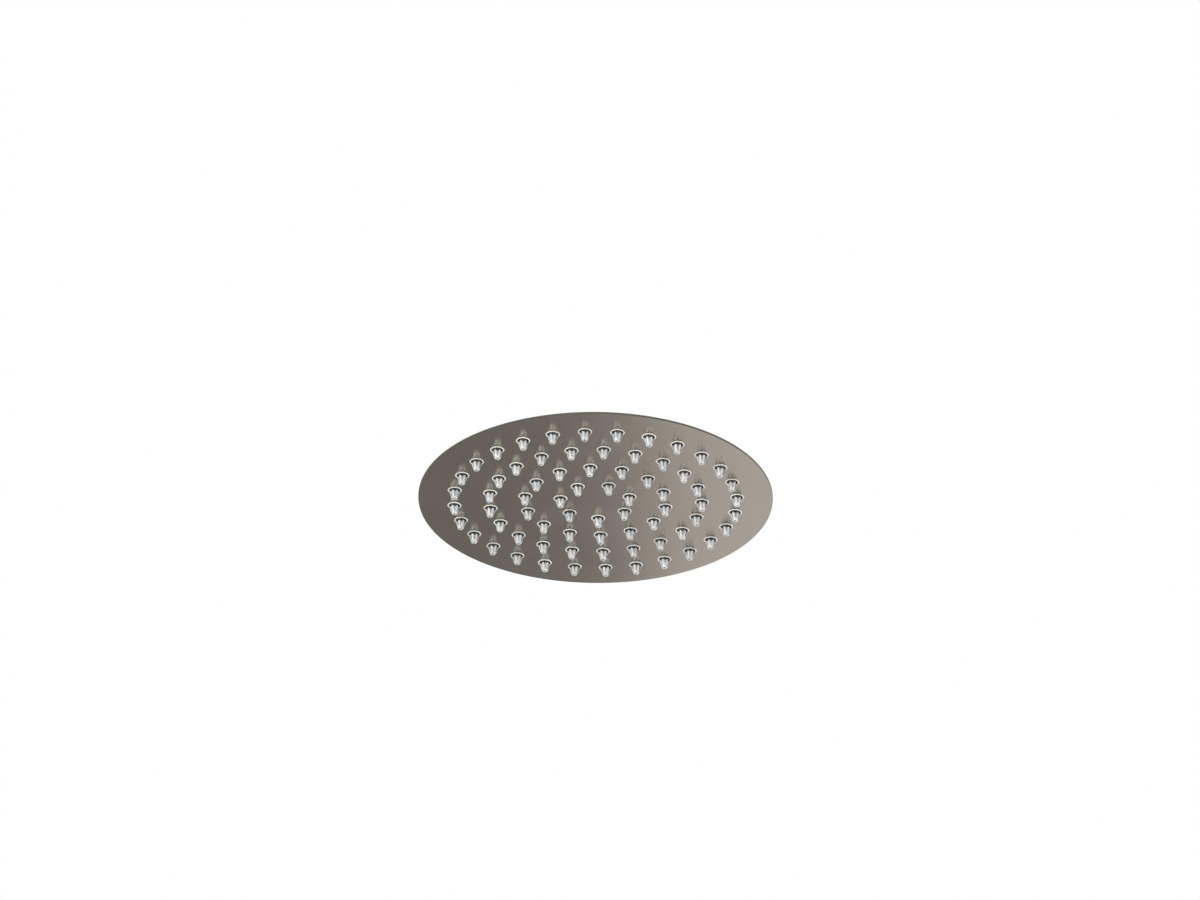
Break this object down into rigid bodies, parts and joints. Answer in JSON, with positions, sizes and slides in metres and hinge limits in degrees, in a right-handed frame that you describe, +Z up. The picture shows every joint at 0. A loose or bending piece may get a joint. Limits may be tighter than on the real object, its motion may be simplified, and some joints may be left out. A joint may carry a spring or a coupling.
{
  "type": "led shower head",
  "caption": "Round flat rain shower head with clear nozzles, a ring of LEDs inside, a small water generator in its hub and a swivel ball inlet.",
  "frame": {"origin": "middle of the inlet's mouth, on the axis of the head", "axes": "+Z up along the head's axis and out of the inlet, nozzles pointing down along -Z; +Y is the line on which every ring of nozzles has a nozzle"},
  "size_m": [0.2, 0.2, 0.0556],
  "materials": {
    "satin_steel": "satin sheet, softly mirrored",
    "back_steel": "brushed sheet",
    "nickel_brass": "brass with a satin nickel plate",
    "clear_silicone": "clear moulded silicone",
    "black_rubber": "matt rubber",
    "filter_steel": "perforated sheet",
    "white_plastic": "moulded acetal",
    "regulator_plastic": "moulded plastic",
    "dark_plastic": "moulded plastic",
    "rotor_plastic": "moulded plastic",
    "fastener_steel": "plain stainless steel",
    "copper_wire": "enamelled copper winding",
    "lead_insulation": "insulated lead",
    "clear_plastic": "clear polycarbonate",
    "board_white": "white solder resist",
    "led_package": "phosphor under resin",
    "resin": "cast resin",
    "magnet": "sintered ferrite",
    "bush_bronze": "sintered bronze"
  },
  "bodies": {
    "root": {"inlet_ball": "nickel_brass", "inlet_washer": "black_rubber", "filter_screen": "filter_steel", "flow_regulator": "regulator_plastic"},
    "swivel": {"ball_liner": "white_plastic"},
    "head": {"collar_nut": "nickel_brass", "ball_seal": "black_rubber", "neck_boss": "nickel_brass", "hub_cover": "back_steel", "back_plate": "back_steel", "face_plate": "satin_steel", "nozzles_row_1": "clear_silicone", "nozzles_row_2": "clear_silicone", "nozzles_row_3": "clear_silicone", "nozzles_row_4": "clear_silicone", "generator_base": "dark_plastic", "jet_ring": "white_plastic", "generator_gasket": "black_rubber", "generator_studs": "fastener_steel", "generator_screws": "fastener_steel", "rotor_axle": "fastener_steel", "stator_coil": "copper_wire", "stator_plate": "fastener_steel", "generator_leads": "lead_insulation", "led_cover": "clear_plastic", "led_board": "board_white", "leds": "led_package", "potting": "resin", "led_studs": "fastener_steel", "led_screws": "fastener_steel"},
    "rotor": {"turbine_rotor": "rotor_plastic", "rotor_magnet": "magnet", "upper_bush": "bush_bronze", "lower_bush": "bush_bronze"}
  },
  "joints": [
    {"name": "turn", "type": "hinge", "parent": "root", "child": "swivel", "pos_m": [0, 0, -0.024], "axis": [0, 0, 1], "continuous": true},
    {"name": "tilt", "type": "hinge", "parent": "swivel", "child": "head", "pos_m": [0, 0, -0.024], "axis": [1, 0, 0], "range_deg": [-15, 15]},
    {"name": "rotor_spin", "type": "hinge", "parent": "head", "child": "rotor", "pos_m": [0, 0, -0.04], "axis": [0, 0, 1], "continuous": true}
  ]
}
